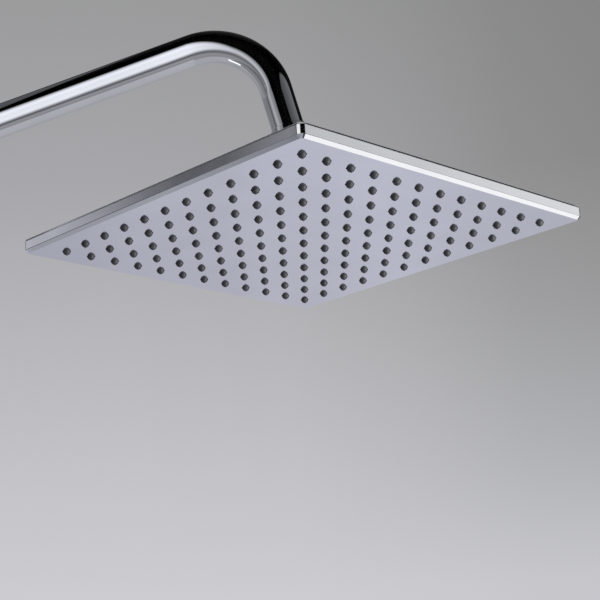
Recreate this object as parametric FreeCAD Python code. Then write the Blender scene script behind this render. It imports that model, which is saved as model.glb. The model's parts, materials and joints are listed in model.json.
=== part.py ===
import FreeCAD, Part
import math
import os

# Overhead shower: a bent wall arm carries a square rain head on a ball joint.
# Frame: +Z up, wall face at Y = 0, arm axis through the origin, arm reaching out along -Y.
# Sizes are millimetres and degrees.

V = FreeCAD.Vector
UP = V(0, 0, 1)
ORIGIN = V(0, 0, 0)
FULL_TURN = 360

# Arm tube
tube_radius = 12.7
tube_wall = 1.2
wall_run = 80.0
rise_angle = 18.0
lower_bend_radius = 80.0
slope_length = 300.0
upper_bend_radius = 50.0
end_tilt = 13.0
drop_length = 116.0

# Pipe thread and the nipples brazed into both tube ends
thread_radius = 10.4775
thread_clearance = 0.1
thread_reach = 15.0
thread_relief = 5.0
shoulder_length = 4.0
plug_length = 20.0
braze_gap = 0.05
nipple_bore = 6.5
thread_lead = 1.0
washer_thickness = 2.0
washer_clearance = 0.1

# Wall flange
flange_radius = 32.0
flange_wall = 2.0
flange_rim = 8.0
flange_cone_top = 14.0
flange_collar_wall = 2.25
flange_collar_length = 4.0
flange_round = 2.5
flange_fit = 0.05
wall_gasket_thickness = 1.5
wall_gasket_width = 6.0
wall_gasket_inset = 1.0
ring_section = 1.2
ring_groove_room = 0.1

# Ball stud
ball_radius = 12.0
stem_radius = 6.2
stem_bore = 4.2
collar_step = 1.0
collar_start = 15.0
collar_height = 13.5
collar_floor = 2.5
collar_round = 1.0

# Ball seats, held between the ball, the socket and the ring nut
seat_gap = 0.08
seat_thickness = 1.9
lower_seat_from = 100.0
lower_seat_to = 145.0
upper_seat_from = 60.0
upper_seat_to = 84.0

# Ball socket and its ring nut
cup_radius = 19.0
cup_rise = 0.6
cup_drop = 15.0
cup_floor = 5.9
passage_radius = 5.5
chamber_radius = 9.0
socket_neck_radius = 16.5
socket_hex_flats = 30.0
socket_hex_height = 9.0
socket_gap = 0.5
nut_wall = 3.9
nut_skirt = 14.0
nut_shoulder_rise = 2.0
nut_lip_angle = 58.0
nut_lip_width = 1.0
nut_cone_drop = 5.0
nut_edge_round = 1.5
nut_grip_count = 12
nut_grip_radius = 2.5
nut_grip_depth = 0.9
filter_thickness = 1.0
filter_hole_radius = 0.45
filter_hole_pitch = 1.5
limiter_thickness = 4.0
limiter_hole_radius = 1.1
limiter_hole_circle = 5.0
limiter_hole_count = 6
insert_clearance = 0.1

# Rain head: outside sizes
head_side = 300.0
corner_radius = 5.0
face_chamfer = 2.4
edge_ease = 0.4
head_turn = 45.0

# Rain head: walls and layers
face_wall = 2.0
rim_wall = 2.5
ledge_width = 2.0
mat_thickness = 1.0
spreader_thickness = 1.6
water_space = 3.7
layer_clearance = 0.5
rim_gasket_thickness = 1.0
rim_gasket_clearance = 0.1
cover_thickness = 2.2
cover_lip = 1.3
cover_clearance = 0.2
cover_edge_flat = 0.2
seam_bevel = 0.35

# Nozzles
nozzles_per_side = 12
nozzle_margin = 23.5
nozzle_base_radius = 3.3
nozzle_tip_radius = 1.5
nozzle_height = 2.9
nozzle_round = 0.6
nozzle_bore = 0.8
nozzle_hole_clearance = 0.05
feed_hole_radius = 1.6

# Screws that clamp the spreader plate, set between nozzles in whole pitches
screw_steps = (-4, 0, 4)
screw_radius = 1.25
screw_head_radius = 2.4
screw_head_height = 1.3
screw_tip_gap = 0.8
screw_clearance = 0.1
boss_radius = 3.0
boss_clearance = 0.4
screw_slot_width = 0.7
screw_slot_depth = 0.6

# Dome on the cover and the inlet fitting through it
dome_rise = 6.5
dome_base_radius = 46.0
dome_top_radius = 28.0
dome_wall = 2.5
inlet_flange_inset = 4.0
inlet_flange_thickness = 3.0
inlet_gasket_thickness = 1.5
inlet_thread_length = 12.0
lock_nut_thickness = 4.5
lock_nut_flats = 36.0

# One overrun serves every cut
overrun = 5.0

# Levels of the head above its spray face
mat_top = face_wall + mat_thickness
spreader_top = mat_top + spreader_thickness
cover_under = spreader_top + water_space
head_edge = cover_under + cover_thickness
rim_top = head_edge - cover_lip
ledge_level = cover_under - rim_gasket_thickness
dome_top = head_edge + dome_rise
dome_under = dome_top - dome_wall
inlet_flange_top = dome_under - inlet_gasket_thickness
inlet_flange_under = inlet_flange_top - inlet_flange_thickness
socket_bottom = dome_top + lock_nut_thickness + socket_gap
stub_top = socket_bottom + inlet_thread_length
filter_level = stub_top + washer_thickness
limiter_level = filter_level + filter_thickness
chamber_top = limiter_level + limiter_thickness

# Radii of the ball joint, from the ball outwards
seat_inner = ball_radius + seat_gap
seat_outer = seat_inner + seat_thickness
socket_sphere = seat_outer + seat_gap
ball_height = chamber_top + cup_floor + socket_sphere
nut_radius = cup_radius + thread_clearance + nut_wall

# Plan sizes of the head and its inlet
head_half = head_side / 2
cavity_half = head_half - rim_wall
well_half = cavity_half - ledge_width
cavity_corner = corner_radius - rim_wall
cover_edge_round = cover_lip - cover_edge_flat
inlet_flange_radius = dome_top_radius - inlet_flange_inset
nozzle_pitch = (head_side - 2 * nozzle_margin) / (nozzles_per_side - 1)

# Radii of the pipe thread, the arm tube and the stud's collar
thread_bore = thread_radius + thread_clearance
tube_bore = tube_radius - tube_wall
plug_radius = tube_bore - braze_gap
collar_radius = tube_radius + collar_step
collar_end = collar_start + collar_height

# Collar of the wall flange, round the groove of its rubber ring
ring_groove_radius = tube_radius + flange_fit + 2 * ring_section + ring_groove_room
flange_collar_radius = ring_groove_radius + flange_collar_wall
flange_collar_end = flange_cone_top + flange_collar_length
ring_level = flange_collar_end - flange_wall / 2 - 2 * ring_section

# Arm corners, in the vertical plane through the arm
tube_start = thread_relief + shoulder_length
rise = math.radians(rise_angle)
tilt = math.radians(end_tilt)
start_point = V(0, -tube_start, 0)
lower_corner = V(0, -wall_run, 0)
upper_corner = lower_corner + V(0, -math.cos(rise), math.sin(rise)) * slope_length
stem_direction = V(0, math.sin(tilt), math.cos(tilt))
ball_centre = upper_corner - stem_direction * drop_length
tube_end = ball_centre + stem_direction * collar_end
face_centre = ball_centre - UP * ball_height


def turned(points):
    """Solid of revolution about Z from a closed outline of (radius, height) points."""
    corners = [V(radius, 0, height) for radius, height in points]
    face = Part.Face(Part.makePolygon(corners + corners[:1]))
    return face.revolve(ORIGIN, UP, FULL_TURN)


def ring(inner, outer, low, high):
    """Flat ring with a round hole."""
    return turned([(inner, low), (outer, low), (outer, high), (inner, high)])


def cylinder(radius, low, high, x=0, y=0):
    """Upright round bar between two heights."""
    return Part.makeCylinder(radius, high - low, V(x, y, low), UP)


def hexagon(flats, low, high):
    """Upright hexagonal bar, given its size across flats."""
    reach = flats / math.sqrt(3)
    turns = [math.radians(FULL_TURN / 6 * step) for step in range(6)]
    corners = [V(reach * math.cos(turn), reach * math.sin(turn), low) for turn in turns]
    face = Part.Face(Part.makePolygon(corners + corners[:1]))
    return face.extrude(UP * (high - low))


def square_plate(half, corner, low, high):
    """Square plate with rounded upright corners."""
    block = Part.makeBox(2 * half, 2 * half, high - low, V(-half, -half, low))
    upright = [edge for edge in block.Edges if edge.BoundBox.ZLength > (high - low) / 2]
    return block.makeFillet(corner, upright)


def level_edges(shape, height):
    """Edges that lie flat at one height."""
    near = 1e-6 * head_side
    return [
        edge for edge in shape.Edges
        if abs(edge.BoundBox.ZMin - height) < near and abs(edge.BoundBox.ZMax - height) < near
    ]


def round_edges(shape, height, radius):
    """Edges at one height that run at one radius about the axis."""
    near = 1e-6 * head_side
    return [edge for edge in level_edges(shape, height) if abs(edge.BoundBox.XMax - radius) < near]


def sphere_band(inner, outer, start, stop):
    """Part of a ball-shaped shell between two angles from straight up."""
    def point(radius, angle):
        turn = math.radians(angle)
        return V(radius * math.sin(turn), 0, radius * math.cos(turn))

    middle = (start + stop) / 2
    outside = Part.Arc(point(outer, start), point(outer, middle), point(outer, stop)).toShape()
    inside = Part.Arc(point(inner, stop), point(inner, middle), point(inner, start)).toShape()
    foot = Part.makeLine(point(outer, stop), point(inner, stop))
    head = Part.makeLine(point(inner, start), point(outer, start))
    face = Part.Face(Part.Wire([outside, foot, inside, head]))
    return face.revolve(ORIGIN, UP, FULL_TURN)


def nozzle_places():
    """Centres of the nozzles, row by row, about the middle of the head."""
    middle = (nozzles_per_side - 1) / 2
    steps = [(step - middle) * nozzle_pitch for step in range(nozzles_per_side)]
    return [(x, y) for x in steps for y in steps]


def screw_places():
    """Centres of the spreader screws, with none under the inlet."""
    steps = [step * nozzle_pitch for step in screw_steps]
    return [(x, y) for x in steps for y in steps if (x, y) != (0, 0)]


def on_head(shape):
    """Move a piece modelled above the spray face to its place on the arm."""
    shape.rotate(ORIGIN, UP, head_turn)
    shape.translate(face_centre)
    return shape


def on_stem(shape):
    """Move a piece modelled about the ball centre, stem upwards, to its place on the arm."""
    shape.rotate(ORIGIN, V(1, 0, 0), -end_tilt)
    shape.translate(ball_centre)
    return shape


def on_wall(shape):
    """Move a piece modelled with Z away from the wall to its place on the wall."""
    shape.rotate(ORIGIN, V(1, 0, 0), FULL_TURN / 4)
    return shape


def arm_path(stretch):
    """Centre line of the arm: straight runs joined by tangent arcs, stretched at both ends."""
    first = start_point + V(0, stretch, 0)
    last = tube_end - stem_direction * stretch
    edges = []
    here = first
    stops = [lower_corner, upper_corner]
    beyond = [upper_corner, last]
    radii = [lower_bend_radius, upper_bend_radius]
    before = first
    for corner, after, radius in zip(stops, beyond, radii):
        back = (before - corner).normalize()
        ahead = (after - corner).normalize()
        half = back.getAngle(ahead) / 2
        enter = corner + back * (radius / math.tan(half))
        leave = corner + ahead * (radius / math.tan(half))
        inwards = (back + ahead).normalize()
        middle = corner + inwards * (radius / math.sin(half) - radius)
        edges.append(Part.makeLine(here, enter))
        edges.append(Part.Arc(enter, middle, leave).toShape())
        here = leave
        before = corner
    edges.append(Part.makeLine(here, last))
    return Part.Wire(edges)


def round_sweep(path, radius, start):
    """Solid bar of round section along the arm."""
    section = Part.Wire([Part.makeCircle(radius, start, V(0, 1, 0))])
    return path.makePipeShell([section], True, False)


def arm_tube():
    """Bent tube from the wall to the ball stud."""
    path = arm_path(0)
    outside = round_sweep(path, tube_radius, start_point)
    bore = round_sweep(arm_path(overrun), tube_bore, start_point + V(0, overrun, 0))
    tube = outside.cut(bore)
    expected = math.pi * (tube_radius ** 2 - tube_bore ** 2) * path.Length
    print("arm tube volume over section times length:", round(tube.Volume / expected, 5))
    return tube


def wall_nipple():
    """Fitting brazed into the wall end of the tube: plug, shoulder and pipe thread."""
    plug_end = tube_start + plug_length
    outline = [
        (nipple_bore, -thread_reach),
        (thread_radius - thread_lead, -thread_reach),
        (thread_radius, thread_lead - thread_reach),
        (thread_radius, thread_relief),
        (tube_radius, thread_relief),
        (tube_radius, tube_start),
        (plug_radius, tube_start),
        (plug_radius, plug_end),
        (nipple_bore, plug_end),
    ]
    return on_wall(turned(outline))


def head_nipple():
    """Fitting brazed into the head end of the tube, threaded into the ball stud."""
    thread_end = collar_start + collar_floor + washer_thickness
    outline = [
        (nipple_bore, thread_end),
        (thread_radius - thread_lead, thread_end),
        (thread_radius, thread_end + thread_lead),
        (thread_radius, collar_end),
        (plug_radius, collar_end),
        (plug_radius, collar_end + plug_length),
        (nipple_bore, collar_end + plug_length),
    ]
    return on_stem(turned(outline))


def stud_washer():
    """Rubber washer between the head nipple and the floor of the stud's collar."""
    floor = collar_start + collar_floor
    washer = ring(stem_bore, thread_radius - washer_clearance, floor, floor + washer_thickness)
    return on_stem(washer)


def ball_stud():
    """Hollow ball with a stem and a threaded collar that takes the arm."""
    ball = Part.makeSphere(ball_radius)
    stem = cylinder(stem_radius, 0, collar_start + collar_floor)
    collar = cylinder(collar_radius, collar_start, collar_end)
    rims = round_edges(collar, collar_start, collar_radius) + round_edges(collar, collar_end, collar_radius)
    collar = collar.makeFillet(collar_round, rims)
    stud = ball.multiFuse([stem, collar])
    stud = stud.cut(cylinder(stem_bore, -ball_radius - overrun, collar_end + overrun))
    stud = stud.cut(cylinder(thread_bore, collar_start + collar_floor, collar_end + overrun))
    return on_stem(stud)


def wall_flange():
    """Round cover cup that slides along the arm and hides the hole in the wall."""
    bore = tube_radius + flange_fit
    inner_radius = flange_radius - flange_wall
    inner_collar = flange_collar_radius - flange_wall / 2
    outline = [
        (inner_radius, wall_gasket_thickness),
        (flange_radius, wall_gasket_thickness),
        (flange_radius, flange_rim),
        (flange_collar_radius, flange_cone_top),
        (flange_collar_radius, flange_collar_end),
        (bore, flange_collar_end),
        (bore, flange_cone_top - flange_wall),
        (inner_collar, flange_cone_top - flange_wall),
        (inner_radius, flange_rim - flange_wall / 2),
    ]
    cup = turned(outline)
    cup = cup.makeFillet(flange_round, round_edges(cup, flange_rim, flange_radius))
    cup = cup.makeFillet(flange_wall / 2, round_edges(cup, flange_collar_end, flange_collar_radius))
    half_width = ring_section + ring_groove_room
    groove = ring(tube_radius, ring_groove_radius, ring_level - half_width, ring_level + half_width)
    return on_wall(cup.cut(groove))


def flange_ring():
    """Rubber ring in the flange that grips the arm."""
    loop = tube_radius + flange_fit + ring_section
    return on_wall(Part.makeTorus(loop, ring_section, V(0, 0, ring_level), UP))


def flange_gasket():
    """Foam ring between the flange and the wall."""
    outer = flange_radius - wall_gasket_inset
    return on_wall(ring(outer - wall_gasket_width, outer, 0, wall_gasket_thickness))


def lower_ball_seat():
    """Seat ring under the ball."""
    seat = sphere_band(seat_inner, seat_outer, lower_seat_from, lower_seat_to)
    seat.translate(ball_centre)
    return seat


def upper_ball_seat():
    """Seat ring over the ball."""
    seat = sphere_band(seat_inner, seat_outer, upper_seat_from, upper_seat_to)
    seat.translate(ball_centre)
    return seat


def ball_socket():
    """Threaded cup that carries the head on the ball, with a chamber and a female thread below."""
    cup = cylinder(cup_radius, ball_height - cup_drop, ball_height + cup_rise)
    neck = cylinder(socket_neck_radius, socket_bottom + socket_hex_height, ball_height - cup_drop)
    nut = hexagon(socket_hex_flats, socket_bottom, socket_bottom + socket_hex_height)
    body = cup.multiFuse([neck, nut])
    hollow = Part.makeSphere(socket_sphere, V(0, 0, ball_height))
    passage = cylinder(passage_radius, filter_level, ball_height)
    chamber = cylinder(chamber_radius, filter_level, chamber_top)
    thread = cylinder(thread_bore, socket_bottom - overrun, filter_level)
    for space in (hollow, passage, chamber, thread):
        body = body.cut(space)
    return on_head(body.removeSplitter())


def ball_nut():
    """Ring nut with finger grips that holds the ball in the socket."""
    shoulder = ball_height + cup_rise
    lip = math.radians(nut_lip_angle)
    lip_radius = socket_sphere * math.sin(lip)
    lip_level = ball_height + socket_sphere * math.cos(lip)
    crest_level = lip_level + nut_lip_width
    cone_foot = crest_level - nut_cone_drop
    outline = [
        (cup_radius + thread_clearance, ball_height - nut_skirt),
        (nut_radius, ball_height - nut_skirt),
        (nut_radius, ball_height + nut_shoulder_rise),
        (nut_radius - nut_shoulder_rise, cone_foot),
        (lip_radius + 2 * nut_lip_width, crest_level),
        (lip_radius + nut_lip_width, crest_level),
        (lip_radius, lip_level),
        (lip_radius, shoulder),
        (cup_radius + thread_clearance, shoulder),
    ]
    nut = turned(outline)
    nut = nut.makeFillet(nut_edge_round, round_edges(nut, ball_height - nut_skirt, nut_radius))
    grips = []
    circle = nut_radius + nut_grip_radius - nut_grip_depth
    for step in range(nut_grip_count):
        turn = 2 * math.pi * step / nut_grip_count
        place = (circle * math.cos(turn), circle * math.sin(turn))
        low = ball_height - nut_skirt - overrun
        grips.append(cylinder(nut_grip_radius, low, crest_level + overrun, *place))
    nut = nut.cut(Part.makeCompound(grips))
    nut = nut.cut(Part.makeSphere(socket_sphere, V(0, 0, ball_height)))
    return on_head(nut)


def socket_washer():
    """Rubber washer between the inlet stub and the socket."""
    outer = thread_radius - washer_clearance
    return on_head(ring(nipple_bore, outer, stub_top, stub_top + washer_thickness))


def filter_screen():
    """Perforated disc that keeps grit out of the head."""
    reach = chamber_radius - insert_clearance
    disc = cylinder(reach, filter_level, filter_level + filter_thickness)
    steps = int(reach / filter_hole_pitch)
    holes = []
    for column in range(-steps, steps + 1):
        for line in range(-steps, steps + 1):
            x = (column + line / 2) * filter_hole_pitch
            y = line * filter_hole_pitch * math.sqrt(3) / 2
            if math.hypot(x, y) < passage_radius - filter_hole_radius:
                low = filter_level - overrun
                holes.append(cylinder(filter_hole_radius, low, filter_level + overrun, x, y))
    return on_head(disc.cut(Part.makeCompound(holes)))


def flow_limiter():
    """Disc with a ring of small ports that evens out the flow."""
    reach = chamber_radius - insert_clearance
    disc = cylinder(reach, limiter_level, chamber_top)
    holes = []
    for step in range(limiter_hole_count):
        turn = 2 * math.pi * step / limiter_hole_count
        place = (limiter_hole_circle * math.cos(turn), limiter_hole_circle * math.sin(turn))
        holes.append(cylinder(limiter_hole_radius, limiter_level - overrun, chamber_top + overrun, *place))
    return on_head(disc.cut(Part.makeCompound(holes)))


def inlet_fitting():
    """Flanged stub that brings water through the dome of the cover."""
    outline = [
        (nipple_bore, inlet_flange_under),
        (inlet_flange_radius, inlet_flange_under),
        (inlet_flange_radius, inlet_flange_top),
        (thread_radius, inlet_flange_top),
        (thread_radius, stub_top - thread_lead),
        (thread_radius - thread_lead, stub_top),
        (nipple_bore, stub_top),
    ]
    return on_head(turned(outline))


def inlet_gasket():
    """Rubber ring that seals the fitting to the underside of the dome."""
    outer = inlet_flange_radius - washer_clearance
    return on_head(ring(thread_bore, outer, inlet_flange_top, dome_under))


def inlet_lock_nut():
    """Hexagonal nut that clamps the fitting to the dome."""
    nut = hexagon(lock_nut_flats, dome_top, dome_top + lock_nut_thickness)
    bore = cylinder(thread_bore, dome_top - overrun, dome_top + lock_nut_thickness + overrun)
    return on_head(nut.cut(bore))


def back_cover():
    """Upper shell: a flat plate with a lip on the rim and a dome for the inlet."""
    lip = square_plate(head_half, corner_radius, rim_top, head_edge)
    lip = lip.makeFillet(cover_edge_round, level_edges(lip, head_edge))
    plug_half = cavity_half - cover_clearance
    plug = square_plate(plug_half, cavity_corner, cover_under, rim_top)
    dome = turned([(0, cover_under), (dome_base_radius, cover_under), (dome_base_radius, head_edge),
                   (dome_top_radius, dome_top), (0, dome_top)])
    inner_top = dome_top_radius - dome_wall / 2
    inner_base = dome_base_radius - dome_wall
    mouth = cover_under - overrun
    hollow = turned([(0, mouth), (inner_base, mouth), (inner_base, cover_under),
                     (inner_top, dome_under), (0, dome_under)])
    shell = lip.multiFuse([plug, dome]).removeSplitter()
    shell = shell.makeFillet(dome_wall, round_edges(shell, dome_top, dome_top_radius))
    shell = shell.cut(hollow)
    return on_head(shell.cut(cylinder(thread_bore, cover_under, dome_top + overrun)))


def face_shell():
    """Lower shell: spray face with its holes, chamfered edge, rim and screw bosses."""
    block = square_plate(head_half, corner_radius, 0, rim_top)
    block = block.makeChamfer(face_chamfer, level_edges(block, 0))
    block = block.makeFillet(edge_ease, level_edges(block, face_chamfer))
    block = block.makeChamfer(seam_bevel, level_edges(block, rim_top))
    well = square_plate(well_half, cavity_corner, face_wall, ledge_level)
    mouth = square_plate(cavity_half, cavity_corner, ledge_level, rim_top + overrun)
    pan = block.cut(well).cut(mouth)
    bosses = [cylinder(boss_radius, face_wall, mat_top, *place) for place in screw_places()]
    pan = pan.multiFuse(bosses)
    hole = nozzle_base_radius + nozzle_hole_clearance
    cuts = [cylinder(hole, -overrun, face_wall + overrun, *place) for place in nozzle_places()]
    cuts += [cylinder(screw_radius, screw_tip_gap, mat_top + overrun, *place) for place in screw_places()]
    return on_head(pan.cut(Part.makeCompound(cuts)))


def rim_gasket():
    """Square rubber seal on the ledge inside the rim, under the cover."""
    outer = cavity_half - rim_gasket_clearance
    loop = square_plate(outer, cavity_corner, ledge_level, cover_under)
    gap = square_plate(well_half, cavity_corner, ledge_level - overrun, cover_under + overrun)
    return on_head(loop.cut(gap))


def nozzle_mat():
    """Soft sheet inside the face, with a tapered nozzle through every hole."""
    sheet = square_plate(well_half - layer_clearance, cavity_corner, face_wall, mat_top)
    body = turned([
        (0, mat_top), (nozzle_base_radius, mat_top), (nozzle_base_radius, 0),
        (nozzle_tip_radius, -nozzle_height), (0, -nozzle_height),
    ])
    body = body.makeFillet(nozzle_round, round_edges(body, -nozzle_height, nozzle_tip_radius))
    nozzles = []
    cuts = []
    for x, y in nozzle_places():
        nozzles.append(body.translated(V(x, y, 0)))
        cuts.append(cylinder(nozzle_bore, -nozzle_height - overrun, mat_top + overrun, x, y))
    for x, y in screw_places():
        cuts.append(cylinder(boss_radius + boss_clearance, 0, mat_top + overrun, x, y))
    return on_head(sheet.multiFuse(nozzles).cut(Part.makeCompound(cuts)))


def spreader_plate():
    """Inner plate that clamps the soft sheet and feeds every nozzle."""
    plate = square_plate(well_half - layer_clearance, cavity_corner, mat_top, spreader_top)
    cuts = [cylinder(feed_hole_radius, 0, spreader_top + overrun, *place) for place in nozzle_places()]
    hole = screw_radius + screw_clearance
    cuts += [cylinder(hole, 0, spreader_top + overrun, *place) for place in screw_places()]
    return on_head(plate.cut(Part.makeCompound(cuts)))


def plate_screws():
    """Slotted screws that hold the spreader plate to the bosses."""
    head_top = spreader_top + screw_head_height
    screw = turned([
        (0, screw_tip_gap), (screw_radius, screw_tip_gap), (screw_radius, spreader_top),
        (screw_head_radius, spreader_top), (screw_head_radius, head_top), (0, head_top),
    ])
    reach = screw_head_radius + overrun
    corner = V(-reach, -screw_slot_width / 2, head_top - screw_slot_depth)
    screw = screw.cut(Part.makeBox(2 * reach, screw_slot_width, screw_slot_depth + overrun, corner))
    return on_head(Part.makeCompound([screw.translated(V(x, y, 0)) for x, y in screw_places()]))


pieces = [
    arm_tube, wall_nipple, head_nipple, stud_washer, ball_stud,
    wall_flange, flange_ring, flange_gasket,
    lower_ball_seat, upper_ball_seat,
    ball_socket, ball_nut, socket_washer, filter_screen, flow_limiter,
    inlet_fitting, inlet_gasket, inlet_lock_nut,
    back_cover, face_shell, rim_gasket, nozzle_mat, spreader_plate, plate_screws,
]

os.makedirs("parts", exist_ok=True)
for piece in pieces:
    shape = piece()
    shape.exportStep("parts/" + piece.__name__ + ".step")
    box = shape.BoundBox
    size = [round(length, 1) for length in (box.XLength, box.YLength, box.ZLength)]
    print(piece.__name__, "solids", len(shape.Solids), "valid", shape.isValid())
    print("  volume", round(shape.Volume), "size", size)
print("ball centre", [round(value, 3) for value in ball_centre])
print("face centre", [round(value, 3) for value in face_centre])
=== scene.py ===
# %% [markdown]
# # An overhead shower in chrome
# A bent tube leaves the wall, rises, turns down and carries a thin square rain head on a ball joint.
# Nearly every part of it is plated, so the picture is made of reflections: the surfaces have to be
# exactly smooth, and the room around them has to be planned as carefully as the object.
# We work in metres, in the frame of the measured model, and replace its faceted shells by surfaces
# that are worked out from formulas.

# %% Load the measured model
import json
import math

import bmesh
import bpy
import numpy as np
from mathutils import Matrix, Vector


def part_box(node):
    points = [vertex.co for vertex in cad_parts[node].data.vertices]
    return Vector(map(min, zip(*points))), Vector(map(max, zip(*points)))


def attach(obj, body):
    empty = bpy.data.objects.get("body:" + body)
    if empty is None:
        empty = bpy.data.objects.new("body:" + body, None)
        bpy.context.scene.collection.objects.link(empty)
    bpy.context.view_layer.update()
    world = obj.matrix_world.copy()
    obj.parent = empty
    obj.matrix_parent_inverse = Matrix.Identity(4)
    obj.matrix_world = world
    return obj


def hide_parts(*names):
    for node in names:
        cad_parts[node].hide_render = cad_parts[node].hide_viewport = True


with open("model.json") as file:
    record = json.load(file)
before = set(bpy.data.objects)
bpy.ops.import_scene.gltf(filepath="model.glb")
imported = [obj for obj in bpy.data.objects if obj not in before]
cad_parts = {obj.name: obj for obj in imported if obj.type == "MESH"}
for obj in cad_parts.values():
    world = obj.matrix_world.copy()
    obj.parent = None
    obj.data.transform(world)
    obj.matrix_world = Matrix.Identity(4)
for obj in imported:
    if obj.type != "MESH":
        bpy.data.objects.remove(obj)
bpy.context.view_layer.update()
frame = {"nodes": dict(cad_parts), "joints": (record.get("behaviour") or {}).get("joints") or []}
mm = 0.001

# %% [markdown]
# ## From a grid of numbers to a mesh
# A surface is a function of two parameters. Evaluated on a grid it gives an array of points with
# rows and columns, and four neighbours make one quad. The same helpers then serve every piece: they
# number the quads of a grid, pour several grids into one mesh, weld points that coincide, turn all
# faces outwards and mark as sharp only the edges that really are.

# %% Grids and pieces
weld_distance = 0.002 * mm
sharp_angle = math.radians(32)


def grid_sheet(points, close_rows=True, close_columns=True):
    """Join a grid of points, shaped (rows, columns, 3), into quads.

    Point (i, j) meets (i, j + 1), (i + 1, j + 1) and (i + 1, j). A closed side wraps round to 0."""
    rows, columns = points.shape[:2]
    i = np.arange(rows if close_rows else rows - 1)[:, None]
    j = np.arange(columns if close_columns else columns - 1)[None, :]
    below = (i + 1) % rows
    beside = (j + 1) % columns
    corners = [i * columns + j, i * columns + beside, below * columns + beside, below * columns + j]
    quads = np.stack(np.broadcast_arrays(*corners), axis=-1)
    return points.reshape(-1, 3), quads.reshape(-1, 4)


def copied_sheet(sheet, places):
    """The same sheet at many places: every copy's points are shifted, and its quads renumbered."""
    points, quads = sheet
    shifted = points[None] + places[:, None]
    numbered = quads[None] + (np.arange(len(places)) * len(points))[:, None, None]
    return shifted.reshape(-1, 3), numbered.reshape(-1, 4)


def sheet_mesh(name, points, quads, finish):
    """A mesh of quads with one finish."""
    mesh = bpy.data.meshes.new(name)
    mesh.from_pydata(points.tolist(), [], quads.tolist())
    mesh.materials.append(finish)
    return mesh


def make_piece(name, sheets, finish, body, slot, *nodes):
    """Pour sheets into one welded mesh that rides on a body and stands for measured nodes."""
    starts = np.cumsum([0] + [len(points) for points, quads in sheets])
    points = np.concatenate([points for points, quads in sheets])
    quads = np.concatenate([quads + start for (_, quads), start in zip(sheets, starts)])
    mesh = sheet_mesh(name, points, quads, finish)
    work = bmesh.new()
    work.from_mesh(mesh)
    bmesh.ops.remove_doubles(work, verts=work.verts, dist=weld_distance)
    bmesh.ops.recalc_face_normals(work, faces=work.faces)
    open_edges = sum(1 for edge in work.edges if not edge.is_manifold)
    work.to_mesh(mesh)
    work.free()
    mesh.polygons.foreach_set("use_smooth", np.ones(len(mesh.polygons), dtype=bool))
    mesh.set_sharp_from_angle(angle=sharp_angle)
    piece = bpy.data.objects.new(name, mesh)
    bpy.context.scene.collection.objects.link(piece)
    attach(piece, body)
    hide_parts(*nodes)
    print(name, "faces", len(mesh.polygons), "open edges", open_edges)
    return piece


# %% [markdown]
# ## Profiles and turning
# A turned part is one outline carried round an axis. The outlines below are typed as a few corners
# with a radius each, and the arcs are worked out. Mirror finishes show every fault in the normals,
# so a point is added just past each end of an arc: between two such points a flat stays flat.

# %% Rounded outlines and turned sheets
flat_margin = 0.06 * mm


def unit(vectors):
    """Vectors scaled to length 1."""
    return vectors / np.linalg.norm(vectors, axis=-1, keepdims=True)


def rounded_outline(corners, radii, closed=True, arc_steps=6):
    """Outline in which every corner is an arc that touches both its sides, with its radius in mm.

    With h as half the corner's angle, the arc begins radius / tan(h) from the corner, its centre lies
    radius / sin(h) along the bisector, and it turns through pi - 2 h. An open outline keeps its ends."""
    corners = np.asarray(corners, float)
    radii = np.asarray(radii, float)[:, None] * mm
    back = unit(np.roll(corners, 1, axis=0) - corners)
    ahead = unit(np.roll(corners, -1, axis=0) - corners)
    half = np.arccos(np.clip((back * ahead).sum(-1, keepdims=True), -1, 1)) / 2
    touch = radii / np.tan(half)
    centre = corners + unit(back + ahead) * radii / np.sin(half)
    start = corners + back * touch - centre
    stop = corners + ahead * touch - centre
    turn = np.pi - 2 * half
    share = np.linspace(0, 1, arc_steps + 1)
    leaving = (np.sin((1 - share) * turn) / np.sin(turn))[..., None]
    arriving = (np.sin(share * turn) / np.sin(turn))[..., None]
    arcs = centre[:, None] + leaving * start[:, None] + arriving * stop[:, None]
    before = corners + back * (touch + flat_margin)
    after = corners + ahead * (touch + flat_margin)
    points = np.concatenate([before[:, None], arcs, after[:, None]], axis=1)
    if closed:
        return points.reshape(-1, 2)
    return np.concatenate([corners[:1], points[1:-1].reshape(-1, 2), corners[-1:]])


def round_arc(radius, start, stop, steps=24):
    """Arc about the origin of a profile: (radius sin a, radius cos a), a measured from straight up."""
    angle = np.linspace(start, stop, steps + 1)
    return radius * np.stack([np.sin(angle), np.cos(angle)], axis=-1)


def arc_profile(arc, corners, radii):
    """Closed profile of an arc and a rounded outline that leads from its end back to its start."""
    outline = rounded_outline([arc[-1], *corners, arc[0]], [0, *radii, 0], closed=False)
    return np.concatenate([arc, outline[1:-1]])


def turned_sheet(profile, place, steps=128, limit=None):
    """Closed profile of (radius, height) carried round an axis: (r cos t, r sin t, height).

    A limit is a function of the profile's points and of t, and says how far out r may reach."""
    turn = np.arange(steps) * 2 * np.pi / steps
    radius = np.repeat(profile[:, :1], steps, axis=1)
    if limit is not None:
        radius = np.minimum(radius, limit(profile, turn))
    height = np.repeat(profile[:, 1:], steps, axis=1)
    points = np.stack([radius * np.cos(turn), radius * np.sin(turn), height], axis=-1)
    return grid_sheet(place(points))


# %% [markdown]
# ## Where the pieces stand
# The wall end, the leaning stem of the ball and the level head each have an axis of their own. The
# ball's centre is the point that the head's joints share, and the head stands corner-on to the arm.

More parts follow.
